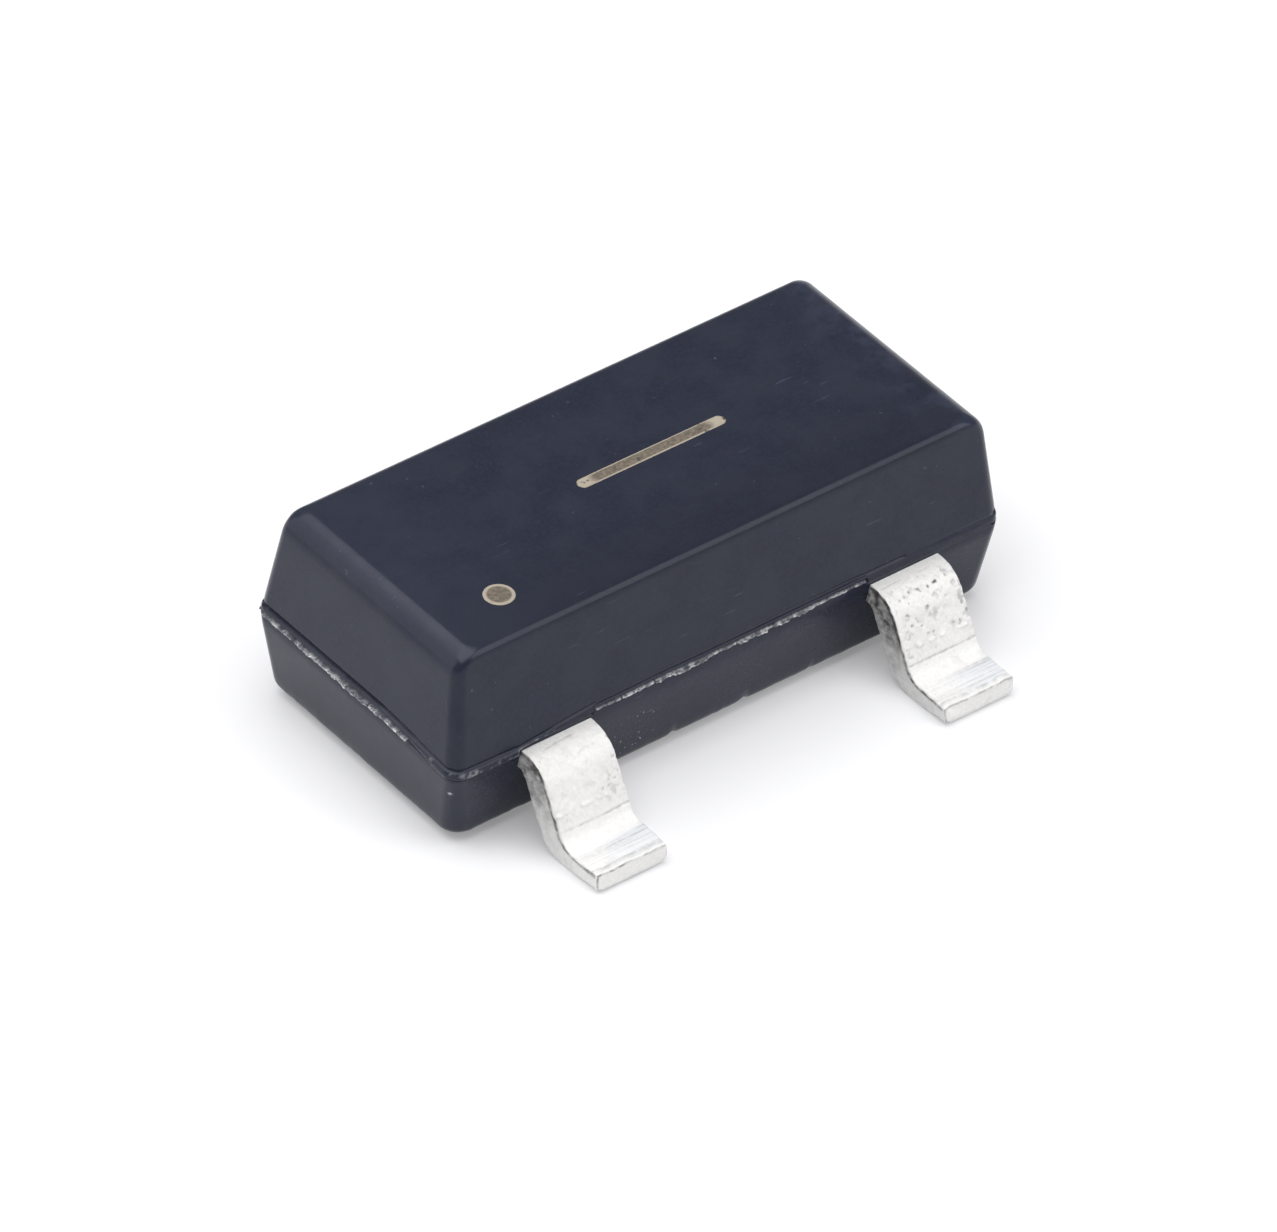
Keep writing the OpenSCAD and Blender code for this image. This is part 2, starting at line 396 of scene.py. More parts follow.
def half_section(rise, height, drafts, radii, far_corner):
    """Half sizes and corner radius of one half of the moulding, at a distance from the seam."""
    return (
        half_length - wall_inset(rise, height, drafts[0], radii[0]),
        half_width - wall_inset(rise, height, drafts[1], radii[1]),
        seam_corner_radius + (far_corner - seam_corner_radius) * rise / height,
    )


upper_height = body_top - lead_level
lower_height = lead_level - body_bottom


def upper_wall(z):
    drafts = (end_draft, side_draft)
    radii = (top_end_radius, top_side_radius)
    return half_section(z - lead_level, upper_height, drafts, radii, top_corner_radius)


def lower_wall(z):
    drafts = (lower_draft, lower_draft)
    radii = (bottom_edge_radius, bottom_edge_radius)
    return half_section(lead_level - z, lower_height, drafts, radii, bottom_corner_radius)


def edge_heights(height, draft, radius, steps):
    """Distances from the seam of the rings that carry a rounded edge."""
    turns = draft + (math.pi / 2 - draft) * np.arange(steps + 1) / steps
    return height - radius * (1 - np.sin(turns))


def seam_inset(z):
    """How far the walls just above and below the seam lie inside its outline, at heights round the ring."""
    upper_slope = math.tan(end_draft) * np.abs(seam_normals[:, 0])
    upper_slope = upper_slope + math.tan(side_draft) * np.abs(seam_normals[:, 1])
    rise = np.broadcast_to(z, ring_size) - lead_level
    return np.where(rise > 0, rise * upper_slope, -rise * math.tan(lower_draft))


class BodySkin:
    """Rings of the moulded body from its underside to its top, with the mask that its material reads."""

    def __init__(self):
        self.rings = []
        self.flash = []

    def add(self, size, z, outward=0.0, flash=0.0):
        points, normals = outline_ring(*size)
        points = points + normals * np.broadcast_to(outward, ring_size)[:, None]
        height = np.broadcast_to(z, ring_size)
        self.rings.append(np.column_stack([points, height]))
        self.flash.append(np.broadcast_to(flash, ring_size))

    def add_seam(self, z, outward, flash=0.0):
        """Ring in the seam, measured outwards from the drafted wall."""
        size = (half_length, half_width, seam_corner_radius)
        self.add(size, z, outward - seam_inset(z), flash)


def edge_chips():
    """Chips along the lower front edge and a slight unevenness of the whole edge, as depths."""
    depth = 0.005 * smooth_noise(seam_run / 0.05, row=12) + 0.003 * broken_noise(seam_run / 0.03, row=13)
    for place, length, bite in EDGE_CHIPS:
        depth = depth + on_front * bite * near(seam_x, place, length)
    return depth


def corner_speck(z):
    """Small white chip on the front left corner of the lower half."""
    corner = np.argmin(np.hypot(seam_x + half_length, seam_y + half_width - corner_speck_run))
    across = np.linalg.norm(seam_points - seam_points[corner], axis=1)
    return near(across, 0, corner_speck_size) * near(z, corner_speck_level, corner_speck_size)


def add_cap(skin, wall, z):
    """Ring just inside the far edge of a half, which the flat cap closes."""
    cap_inset = 0.012
    skin.add([value - cap_inset for value in wall(z)], z)


def add_lower_half(skin):
    """Rounded lower edge with its chips, and the drafted wall up to the seam."""
    chips = edge_chips()
    wall_rings = 4
    below_seam = seam_base - 0.018
    rises = edge_heights(lower_height, lower_draft, bottom_edge_radius, 8)
    add_cap(skin, lower_wall, body_bottom)
    for rise in rises[::-1]:
        z = lead_level - rise
        skin.add(lower_wall(z), z, -chips * (1 - (z - body_bottom) / bottom_edge_radius))
    speck_levels = corner_speck_level + corner_speck_size * np.arange(-2, 3)
    wall_levels = np.linspace(lead_level - rises[0], speck_levels[0], wall_rings + 2)[1:-1]
    for z in np.concatenate([wall_levels, speck_levels, [below_seam]]):
        skin.add(lower_wall(z), z, 0.0, corner_speck(z))


def add_flash(skin, flash_top):
    """Torn flash under the lip."""
    flash_low = np.maximum(flash_top - flash_least - flash_depth, seam_base)
    flash_low = np.minimum(flash_low, flash_top - seam_step)
    skin.add_seam(flash_low - 5 * seam_step, 0.0)
    skin.add_seam(flash_low - seam_step, -seam_step)
    broken = flash_tone * ramp(flash_depth, 0.001, 0.005)
    for share in (0.0, 0.08, 0.18, 0.3, 0.45, 0.6, 0.8, 1.0):
        rough = 0.35 + 0.65 * layered_noise(seam_run, share * 0.04, 0.022, row=6)
        bulge = 0.6 + 0.4 * math.sin(math.pi * (0.15 + 0.7 * share))
        z = flash_low + (flash_top - flash_low) * share
        torn_edge = near(z - flash_low, 0.003, 0.008)
        tone = broken * np.maximum(torn_edge, 0.25 + 0.35 * share**4)
        skin.add_seam(z, flash_out * bulge * rough, tone)


def add_lip(skin, flash_top):
    """Groove, which is a gap above each lead, then the lip of the upper half and the crease above it."""
    groove_in = groove_depth * (1 + 1.6 * left_end)
    groove_in = groove_in + (lead_gap_depth - groove_in) * at_lead
    for share in (0.2, 0.8):
        skin.add_seam(flash_top + share * groove_tall, -groove_in)
    lip_steps = 6
    for step in range(lip_steps + 1):
        share = step / lip_steps
        roundness = math.sqrt(max(0.0, 1 - (2 * share - 1) ** 4))
        worn = layered_noise(seam_run, share * 0.03, 0.03, row=11)
        worn = 0.30 * front_left * ramp(worn, 0.45, 0.75) * roundness
        z = lip_low + (lip_high - lip_low) * share
        skin.add_seam(z, lip_out * roundness * (0.85 + 0.5 * worn), worn)
    crease_in = crease_depth * (1 + 1.2 * left_end - 0.5 * front_left - 0.85 * plain_end)
    crease_in = crease_in * (1 - 0.4 * beside_lead)
    for share, depth in ((0.2, 1.0), (0.6, 1.0), (1.0, 0.3), (1.25, 0.0), (1.6, 0.0)):
        skin.add_seam(lip_high + crease_tall * share, -crease_in * depth)


def add_upper_half(skin):
    """Drafted wall above the crease and the rounded edges of the top."""
    end_rises = edge_heights(upper_height, end_draft, top_end_radius, 14)
    side_rises = edge_heights(upper_height, side_draft, top_side_radius, 8)
    rises = np.unique(np.round(np.concatenate([end_rises, side_rises]), 5))
    wall_low = crease_top + 1.9 * crease_height
    wall_high = lead_level + rises[0]
    wall_steps = 5
    for step in range(wall_steps):
        z = wall_low + (wall_high - wall_low) * step / wall_steps
        skin.add(upper_wall(z), z)
    for rise in rises:
        skin.add(upper_wall(lead_level + rise), lead_level + rise)
    add_cap(skin, upper_wall, body_top)


def make_body():
    skin = BodySkin()
    flash_top = lip_low - groove_tall
    add_lower_half(skin)
    add_flash(skin, flash_top)
    add_lip(skin, flash_top)
    add_upper_half(skin)
    faces = ring_faces(len(skin.rings), ring_size)
    masks = {"flash": np.concatenate(skin.flash)}
    return mesh_object("moulded_body", np.concatenate(skin.rings), faces, masks)


# Leads
bend = shank_angle / 2
shoulder_start = half_width + shoulder_run
shoulder_y = shoulder_start + shoulder_radius * math.tan(bend)


def upper_face_y(z):
    return shoulder_y + (lead_level - z) / math.tan(shank_angle)


def lower_face_y(z):
    return upper_face_y(z) - shank_thickness / math.sin(shank_angle)


tip_y = upper_face_y(lead_thickness) + foot_length


def arc_points(corner, arrive, leave, radius, steps):
    """Arc that rounds the corner between two directions, from the arriving side to the leaving one."""
    arrive = np.array(arrive) / np.linalg.norm(arrive)
    leave = np.array(leave) / np.linalg.norm(leave)
    turn = math.acos(np.clip(arrive @ leave, -1, 1))
    tangent = radius * math.tan(turn / 2)
    start = np.array(corner) - arrive * tangent
    side = np.sign(arrive[0] * leave[1] - arrive[1] * leave[0])
    normal = np.array([-arrive[1], arrive[0]]) * side
    centre = start + normal * radius
    angles = np.linspace(0, turn, steps + 1)
    return centre - normal * radius * np.cos(angles)[:, None] + arrive * radius * np.sin(angles)[:, None]


def straight(start, end, steps):
    """Points between two places, without the ends."""
    share = np.arange(1, steps)[:, None] / steps
    return np.array(start) + (np.array(end) - np.array(start)) * share


inner_steps = 24
shoulder_steps = 44
shank_steps = 50
instep_steps = 36
foot_steps = 60
tip_steps = 5
top_steps = 80
side_steps = 14
bottom_steps = 24
edge_steps = 5
rim_start = 0.036


def lead_faces(inner_y):
    """Matched points along the upper and the lower face of a lead, outwards from inside the body."""
    down = (math.cos(shank_angle), -math.sin(shank_angle))
    out = (1.0, 0.0)
    lower_level = lead_level - lead_thickness
    bends = (
        ((shoulder_y, lead_level), (upper_face_y(lead_thickness), lead_thickness),
         shoulder_radius, instep_radius),
        ((lower_face_y(lower_level), lower_level), (lower_face_y(0), 0.0),
         armpit_radius, heel_radius),
    )
    faces = []
    for first, second, first_radius, second_radius in bends:
        upper_arc = arc_points(first, out, down, first_radius, shoulder_steps)
        lower_arc = arc_points(second, down, out, second_radius, instep_steps)
        start = np.array([[inner_y, first[1]]])
        inner_run = straight(start[0], upper_arc[0], inner_steps)
        shank = straight(upper_arc[-1], lower_arc[0], shank_steps)
        end = np.array([tip_y - rim_start, second[1]])
        foot = straight(lower_arc[-1], end, foot_steps)
        faces.append(np.concatenate([start, inner_run, upper_arc, shank, lower_arc, foot, end[None]]))
    return faces


# Lengths along a lead's upper face, from the wall of the body to the end of each stretch
shoulder_end = shoulder_run + shoulder_radius * shank_angle
shank_rise = lead_level - lead_thickness - (shoulder_radius + instep_radius) * (1 - math.cos(shank_angle))
shank_end = shoulder_end + shank_rise / math.sin(shank_angle)
instep_end = shank_end + instep_radius * shank_angle
foot_end = instep_end + foot_length - instep_radius * math.tan(bend)


# How worn one lead is: its own pattern row, its pits and wrinkles, and how dark its sheared sides are,
# partly as bare metal and partly as painted shade
LeadFinish = namedtuple("LeadFinish", "row pits wrinkles shear")


def section_ring(width, depth, flare, upper_radius, lower_radius):
    """Rounded section of a strip, wider below by a flare on each side: places across and depths."""
    half = width / 2
    quarter = math.pi / 2
    upper_end = half - upper_radius
    lower_end = half - lower_radius
    side_end = depth - lower_radius
    parts = []

    def arc(centre_x, centre_depth, radius, start):
        turn = np.linspace(start, start - quarter, edge_steps + 1)
        across = centre_x + radius * np.cos(turn)
        parts.append(np.stack([across, centre_depth - radius * np.sin(turn)], axis=1))

    def line(start, end, steps):
        parts.append(straight(start, end, steps))

    arc(-upper_end, upper_radius, upper_radius, math.pi)
    line((-upper_end, 0), (upper_end, 0), top_steps)
    arc(upper_end, upper_radius, upper_radius, quarter)
    line((half, upper_radius), (half, side_end), side_steps)
    arc(lower_end, side_end, lower_radius, 0)
    line((lower_end, depth), (-lower_end, depth), bottom_steps)
    arc(-lower_end, side_end, lower_radius, -quarter)
    line((-half, side_end), (-half, upper_radius), side_steps)
    ring = np.concatenate(parts)
    ring[:, 0] *= 1 + flare / half * ring[:, 1] / depth
    return ring


def lead_relief(across, length, finish):
    """Height of the marks on a lead's upper face and how dark they are, at places across and along."""
    row = finish.row

    def pattern(size, step):
        """Noise of its own that changes across the lead only."""
        return smooth_noise(across / size, row=row + step)

    def wavy(place, swing, wave, step):
        """Line across the lead that swings about a length along it."""
        return place + swing * (pattern(wave, step) - 0.5)

    def breaks(size, low, high, step):
        """1 where a line shows and 0 where it is broken off."""
        return ramp(pattern(size, step), low, high)

    on_bends = ramp(length, 0.05, 0.10)
    on_bends = on_bends * (1 - ramp(length, shank_end - 0.06, shank_end - 0.02))
    on_foot = ramp(length, instep_end - 0.03, instep_end + 0.01)
    on_shank = on_bends * ramp(length, shoulder_end - 0.06, shoulder_end + 0.02)
    patch = ramp(layered_noise(across, length, 0.16, row), 0.36, 0.60)
    # Orange peel and pits of the strained plating, with painted shade in the hollows of the peel and in the
    # pits
    peel = layered_noise(across, length, 0.034, row + 3) - 0.5
    hollow = ramp(-peel, 0.06, 0.22) * patch * finish.wrinkles
    pit = ramp(layered_noise(across, length, 0.022, row + 9, 2), 0.70, 0.82) * patch * finish.pits
    # Row of specks where the shoulder turns down, then a dotted line and a crease low on the shank, with
    # painted shade in the crease
    speck_line = wavy(shoulder_end * 0.58, 0.040, 0.07, 12)
    speck = near(length, speck_line, 0.007) * breaks(0.016, 0.50, 0.72, 13)
    speck = speck * breaks(0.10, 0.30, 0.55, 14) * finish.pits**4
    dotted_line = wavy(shank_end - 0.085, 0.016, 0.12, 15)
    dotted = near(length, dotted_line, 0.008) * breaks(0.018, 0.35, 0.65, 16)
    crease_line = wavy(shank_end - 0.012, 0.012, 0.15, 17)
    crease = near(length, crease_line, 0.005) * (0.35 + 0.65 * breaks(0.07, 0.3, 0.7, 18))
    # Cracks beside the body
    exit_line = wavy(0.041, 0.022, 0.09, 19)
    exit_crack = near(length, exit_line, 0.004) * breaks(0.06, 0.52, 0.72, 20)
    # Lines of the forming tool across the foot, and the rim that the cut raised at its end, with painted
    # shade in the groove before the rim
    lines = 0.6 * smooth_noise(length / 0.0085, across / 0.55, row + 21)
    lines = lines + 0.4 * smooth_noise(length / 0.021, across / 0.8, row + 22)
    line_share = on_foot * (0.55 + 0.45 * ramp(across, -0.12, 0.05))
    rim_line = wavy(foot_end - 0.034, 0.014, 0.05, 23)
    rim = ramp(length, rim_line, rim_line + 0.006)
    rim_groove = near(length, rim_line - 0.003, 0.004) * (0.35 + 0.65 * pattern(0.08, 24))
    # Each mark with its height in millimetres and its darkness; the darkness of the hollows, pits, crease
    # and rim groove is painted shade
    marks = (
        (peel * finish.wrinkles * on_bends, 0.0085, 0.0),
        (hollow * on_bends, 0.0, 0.32),
        (pit * on_bends, -0.0040, 0.60),
        ((0.03 + 0.04 * patch) * on_shank, 0.0, 1.0),
        (speck, -0.006, 1.1),
        (dotted, 0.007, 0.0),
        (crease, -0.005, 0.40),
        (exit_crack, -0.0015, 0.30),
        ((lines - 0.5) * line_share, 0.0026, 0.0),
        (ramp(0.5 - lines, 0.02, 0.20) * line_share, 0.0, 0.28),
        (rim, 0.0030, 0.0),
        (rim_groove, -0.0045, 0.55),
    )
    height = sum(mask * rise for mask, rise, darkness in marks)
    dark = np.maximum.reduce([mask * darkness for mask, rise, darkness in marks])
    return height, np.clip(dark, 0, 1)


def plan_limits(y, outline):
    """Half width of a lead in plan at each distance outwards."""
    half, inner, outer = outline
    radius = frame_corner_radius
    inset = np.clip(np.minimum(y - inner, outer - y), 0, radius)
    plate = half - radius + np.sqrt(np.maximum(radius**2 - (radius - inset) ** 2, 0))
    strip = np.where(y > inner + radius, lead_width / 2, 0.0)
    return np.where(y <= outer, np.maximum(plate, strip), lead_width / 2)


def outward_normals(section):
    """Outward directions round a section, across and in depth."""
    along = np.roll(section, -1, axis=0) - np.roll(section, 1, axis=0)
    normals = np.stack([along[:, 1], -along[:, 0]], axis=1)
    normals /= np.linalg.norm(normals, axis=1)[:, None]
    middle = section.mean(axis=0)
    facing = np.sign(np.sum(normals * (section - middle), axis=1).sum())
    return normals * facing


class LeadSkin:
    """Rings of a lead from inside the body to its tip, with the masks that its material reads."""

    def __init__(self, finish):
        self.finish = finish
        self.rings = []
        self.masks = {"dark": [], "side": [], "foot": []}

    def add(self, ring, **masks):
        self.rings.append(ring)
        for key, values in masks.items():
            self.masks[key].append(values)


def add_strip_ring(skin, top, bottom, upward, length, width):
    """Ring of the bent strip at a length along it; gives back what the sheared end goes on from."""
    finish = skin.finish
    depth = np.linalg.norm(bottom - top)
    near_tip = ramp(length, foot_end - 0.12, foot_end - 0.03)
    lower_radius = lower_edge_radius + (tip_corner_radius - lower_edge_radius) * near_tip
    shown = float(ramp(length, -0.03, 0.0))
    flare = side_flare * shown * (1 - float(ramp(length, shank_end, instep_end)))
    section = section_ring(width, depth, flare, burr_radius, lower_radius)
    across, below = section.T
    share = below / depth
    facing = ramp(-below, -0.6 * burr_radius, 0)
    height, dark = lead_relief(across, length, finish)
    side_view = top + (bottom - top) * share[:, None] + upward * (height * facing * shown)[:, None]
    # Sheared sides: bumpy, with a beaded burr along the upper edge and a line of painted shade under it
    on_side = ramp(np.abs(across), lead_width / 2 - 0.004, lead_width / 2) * shown
    turn = np.sign(across)
    bumps = layered_noise(below, length + 0.7 * turn, 0.05, finish.row + 26)
    bead = layered_noise(length, 0.4 * turn, 0.030, finish.row + 29, 2) - 0.5
    at_burr = near(below, 0.4 * burr_radius, burr_radius)
    shift = on_side * (0.014 * bead * at_burr - 0.008 * (bumps - 0.3))
    shade_under_burr = near(below, 1.5 * burr_radius, 0.7 * burr_radius) * on_side
    shade_under_burr = shade_under_burr * (0.5 + 0.3 * finish.shear + 1.2 * (bumps - 0.2))
    # Sheared sides darker, partly as bare sheared metal and partly as painted shade that deepens towards
    # the body
    shade_toward_body = 1 - ramp(length, shoulder_end * 0.5, instep_end)
    shear = finish.shear * (0.10 + 0.90 * shade_toward_body) * (0.6 + 0.8 * (bumps - 0.2))
    on_foot = ramp(length, instep_end - 0.02, instep_end + 0.03)
    skin.add(
        np.column_stack([across + turn * shift, side_view]),
        dark=np.maximum(dark * facing, shade_under_burr) * shown,
        side=np.clip(on_side * shear, 0, 1),
        foot=facing * on_foot * ramp(across, -0.16, 0.06),
    )
    return section, share, facing, bumps


def add_sheared_end(skin, section, share, facing, bumps):
    """End of the foot: a thin rim above, a rounded edge below, and a flat face."""
    face_inset = 0.004
    raggedness = 0.003
    across = section[:, 0]
    normals = outward_normals(section)
    rim = tip_rim_radius + (tip_radius - tip_rim_radius) * ramp(normals[:, 1], 0.3, 1.0)
    below = ramp(normals[:, 1], 0.5, 0.95)
    ragged = raggedness * (smooth_noise(across / 0.025, row=skin.finish.row + 31) - 0.5) * facing
    end_y = tip_y + tip_lean * share + ragged
    end_ring = skin.rings[-1]
    side = skin.masks["side"][-1]
    for step in range(tip_steps + 2):
        turned = min(step / tip_steps, 1.0)
        angle = math.pi / 2 * turned
        inset = rim * (1 - math.cos(angle)) + (face_inset if step > tip_steps else 0.0)
        ring = end_ring.copy()
        ring[:, 0] -= normals[:, 0] * inset
        ring[:, 1] = end_y - rim * (1 - math.sin(angle))
        ring[:, 2] += normals[:, 1] * inset
        # Painted shade along the rounded rim of the end, weaker on its underside
        outlined = 0.8 * math.sin(math.pi * turned) * (0.5 + bumps) * (1 - 0.5 * share)
        dark = np.clip(outlined, 0, 1) * (1 - 0.2 * facing) * (1 - 0.7 * below)
        side = side * (0.5 if step < tip_steps else 0.0)
        skin.add(ring, dark=dark, side=side, foot=np.zeros_like(across))


def make_lead(name, outline, finish, centre_x, outward):
    """Bent strip with its plate inside the body; outward is 1 where its foot lies towards +Y, else -1."""
    upper, lower = lead_faces(outline[1])
    widths = 2 * plan_limits(upper[:, 0], outline)
    step_lengths = np.linalg.norm(np.diff(upper, axis=0), axis=1)
    lengths = np.concatenate([[0], np.cumsum(step_lengths)]) + upper[0, 0] - half_width
    tangent = np.gradient(upper, axis=0)
    tangent /= np.linalg.norm(tangent, axis=1)[:, None]
    upward = np.stack([-tangent[:, 1], tangent[:, 0]], axis=1)
    skin = LeadSkin(finish)
    for station in zip(upper, lower, upward, lengths, widths):
        last_ring = add_strip_ring(skin, *station)
    add_sheared_end(skin, *last_ring)
    points = np.concatenate(skin.rings)
    points[:, 1] = np.minimum(points[:, 1], tip_reach)
    points[:, 2] = np.maximum(points[:, 2], 0.0)
    points = points * np.array([1, outward, 1]) + np.array([centre_x, 0, 0])
    faces = ring_faces(len(skin.rings), len(skin.rings[0]))
    if outward < 0:
        faces = [face[::-1] for face in faces]
    masks = {key: np.concatenate(rows) for key, rows in skin.masks.items()}
    return mesh_object(name, points, faces, masks)


# Materials
def colour(red, green, blue):
    """Linear colour from the eight-bit values of a screen colour."""
    parts = []
    for value in (red, green, blue):
        share = value / 255
        parts.append(share / 12.92 if share <= 0.04045 else ((share + 0.055) / 1.055) ** 2.4)
    return (*parts, 1.0)


class Nodes:
    """Node tree of a material or a world, with short calls for the nodes that it is built from."""

    def __init__(self, owner, output):
        owner.use_nodes = True
        self.owner = owner
        self.tree = owner.node_tree
        self.tree.nodes.clear()
        self.output = self.node(output)

    def node(self, kind, inputs=None, **settings):
        made = self.tree.nodes.new("ShaderNode" + kind)
        for key, value in settings.items():
            setattr(made, key, value)
        for key, value in (inputs or {}).items():
            socket = made.inputs[key]
            if isinstance(value, bpy.types.NodeSocket):
                self.tree.links.new(value, socket)
            else:
                socket.default_value = value
        return made

    def span(self, value, low, high, to_low=0.0, to_high=1.0, kind="SMOOTHSTEP"):
        values = {"Value": value, 1: low, 2: high, 3: to_low, 4: to_high}
        return self.node("MapRange", values, interpolation_type=kind).outputs["Result"]

    def math(self, operation, first, second):
        return self.node("Math", {0: first, 1: second}, operation=operation).outputs["Value"]

    def seen_rays(self):
        """1 for what the camera, mirrors and glass show, and 0 for the light that falls on things."""
        path = self.node("LightPath").outputs
        seen = path["Is Camera Ray"]
        for kind in ("Is Glossy Ray", "Is Transmission Ray"):
            seen = self.math("MAXIMUM", seen, path[kind])
        return seen

    def show(self, surface):
        self.tree.links.new(surface.outputs[0], self.output.inputs["Surface"])
        return self.owner


class MaterialNodes(Nodes):
    """Nodes of a piece's material, with patterns that are measured in the piece's millimetres."""

    def __init__(self, name):
        super().__init__(bpy.data.materials.new(name), "OutputMaterial")
        self.place = self.millimetres()

    def millimetres(self, stretch=(1, 1, 1)):
        place = self.node("TexCoord").outputs["Object"]
        scale = tuple(share / MM for share in stretch)
        return self.node("Mapping", {"Vector": place, "Scale": scale}).outputs["Vector"]

    def noise(self, scale, detail=2.0, roughness=0.5, place=None):
        values = {"Vector": place or self.place, "Scale": scale, "Detail": detail, "Roughness": roughness}
        return self.node("TexNoise", values).outputs["Fac"]

    def patches(self, scale, low, high, detail=2.0, roughness=0.5, to_low=0.0, to_high=1.0):
        """Noise that is spread from a span of its values to another one."""
        return self.span(self.noise(scale, detail, roughness), low, high, to_low, to_high)

    def mix(self, share, first, second):
        return self.node("Mix", {0: share, 6: first, 7: second}, data_type="RGBA").outputs[2]

    def tint(self, base, tone, mask, strength):
        """Base with a screen colour laid over it where a mask shows, as strongly as told."""
        return self.mix(self.math("MULTIPLY", mask, strength), base, colour(*tone))

    def attribute(self, name):
        return self.node("Attribute", attribute_name=name).outputs["Fac"]

    def bump(self, height, distance, strength, below=None):
        values = {"Height": height, "Distance": distance * MM, "Strength": strength}
        if below is not None:
            values["Normal"] = below
        return self.node("Bump", values).outputs["Normal"]

    def principled(self, base, roughness, relief, more):
        values = {"Base Color": base, "Roughness": roughness, "Normal": relief, **more}
        return self.show(self.node("BsdfPrincipled", values))


def epoxy_material():
    shader = MaterialNodes("epoxy")
    cloud = shader.patches(5.0, 0.35, 0.65, 3.0)
    mottle = shader.patches(16.0, 0.38, 0.64, 3.0, 0.6)
    grain = shader.patches(48.0, 0.35, 0.68, 3.0, 0.6)
    dust = shader.patches(130.0, 0.50, 0.72, 2.0, 0.6)
    base = shader.mix(grain, colour(26, 30, 45), colour(32, 37, 54))
    base = shader.tint(base, (29, 30, 44), mottle, 0.6)
    base = shader.tint(base, (41, 46, 62), dust, 0.45)
    base = shader.tint(base, (39, 42, 55), cloud, 0.6)
    # Pale specks and scuffs, each in patches
    speck = shader.patches(34.0, 0.745, 0.78, 1.0)
    speck_patch = shader.patches(3.2, 0.47, 0.62, 2.0)
    base = shader.tint(base, (66, 69, 84), speck, speck_patch)
    along = shader.millimetres((7, 62, 62))
    scuff = shader.span(shader.noise(1.0, 1.0, place=along), 0.70, 0.77)
    scuff_patch = shader.patches(2.4, 0.52, 0.66, 2.0)
    base = shader.tint(base, (58, 61, 77), scuff, scuff_patch)
    # Painted shade on the front of the top and painted light on its left
    spot = shader.node("SeparateXYZ", {0: shader.place}).outputs
    on_top = shader.span(spot["Z"], 0.93, 0.98)
    painted_shade_front = shader.math("MULTIPLY", shader.span(spot["Y"], -0.65, -0.05, 1.0, 0.0), on_top)
    base = shader.tint(base, (24, 28, 39), painted_shade_front, 0.5)
    painted_light_left = shader.math("MULTIPLY", shader.span(spot["X"], -1.35, -0.75, 1.0, 0.0), on_top)
    base = shader.tint(base, (40, 44, 58), painted_light_left, 0.45)
    # Nicks low on the front wall
    nick_centre = {0: shader.place, 1: (-0.50, -0.70, 0.17)}
    from_nicks = shader.node("VectorMath", nick_centre, operation="DISTANCE").outputs["Value"]
    nick_patch = shader.span(from_nicks, 0.07, 0.20, 1.0, 0.0)
    nick = shader.patches(62.0, 0.68, 0.74, 1.0)
    base = shader.tint(base, (150, 151, 156), nick, nick_patch)
    # Bloom that lightens the far right of the top
    to_right = shader.span(spot["X"], 1.05, 1.42)
    bloom = shader.patches(7.0, 0.42, 0.66, 3.0, 0.6)
    bloom = shader.math("MULTIPLY", shader.math("MULTIPLY", to_right, bloom), on_top)
    base = shader.tint(base, (50, 54, 72), bloom, 0.7)
    # Torn flash, white where it broke
    flash = shader.attribute("flash")
    torn = shader.patches(75.0, 0.40, 0.58, 3.0, 0.65, 0.25, 1.0)
    base = shader.tint(base, (236, 236, 238), flash, torn)
    roughness = shader.patches(9.0, 0.3, 0.7, 4.0, 0.6, 0.20, 0.27)
    roughness = shader.math("ADD", roughness, shader.math("MULTIPLY", flash, 0.3))
    fine = shader.bump(shader.noise(110.0, 1.0), 0.0006, 0.08)
    relief = shader.bump(shader.noise(14.0, 2.0), 0.0016, 0.22, fine)
    mirroring = {"Specular IOR Level": 0.31, "Specular Tint": (0.88, 0.91, 1.0, 1.0)}
    return shader.principled(base, roughness, relief, mirroring)


def tin_material():
    shader = MaterialNodes("tin_plate")
    grain = shader.patches(70.0, 0.3, 0.7, 3.0, 0.6)
    base = shader.mix(grain, colour(234, 233, 231), colour(243, 242, 240))
    stain = shader.patches(13.0, 0.54, 0.72, 4.0, 0.6)
    base = shader.tint(base, (212, 209, 207), stain, 0.40)
    across = shader.millimetres((3, 90, 90))
    lines = shader.noise(1.0, 2.0, place=across)
    foot_lines = shader.span(lines, 0.36, 0.66, 0.25, 1.0)
    base = shader.tint(base, (222, 224, 229), shader.attribute("foot"), foot_lines)
    # Sheared sides darker, partly as bare metal and partly as painted shade towards the body
    side_break = shader.patches(22.0, 0.34, 0.66, 3.0, 0.6, 0.45, 1.0)
    base = shader.tint(base, (62, 60, 60), shader.attribute("side"), side_break)
    # Dark marks of the plating, and painted shade in its hollows, pits, crease and rim groove, under the
    # burr and along the rounded rim of the end
    dark_break = shader.patches(40.0, 0.35, 0.60, 2.0, to_low=0.45, to_high=1.0)
    base = shader.tint(base, (74, 70, 68), shader.attribute("dark"), dark_break)
    roughness = shader.patches(24.0, 0.3, 0.7, 3.0, to_low=0.50, to_high=0.64)
    fine = shader.bump(lines, 0.0012, 0.3)
    relief = shader.bump(shader.noise(60.0, 3.0), 0.0015, 0.30, fine)
    return shader.principled(base, roughness, relief, {"Metallic": 0.15})


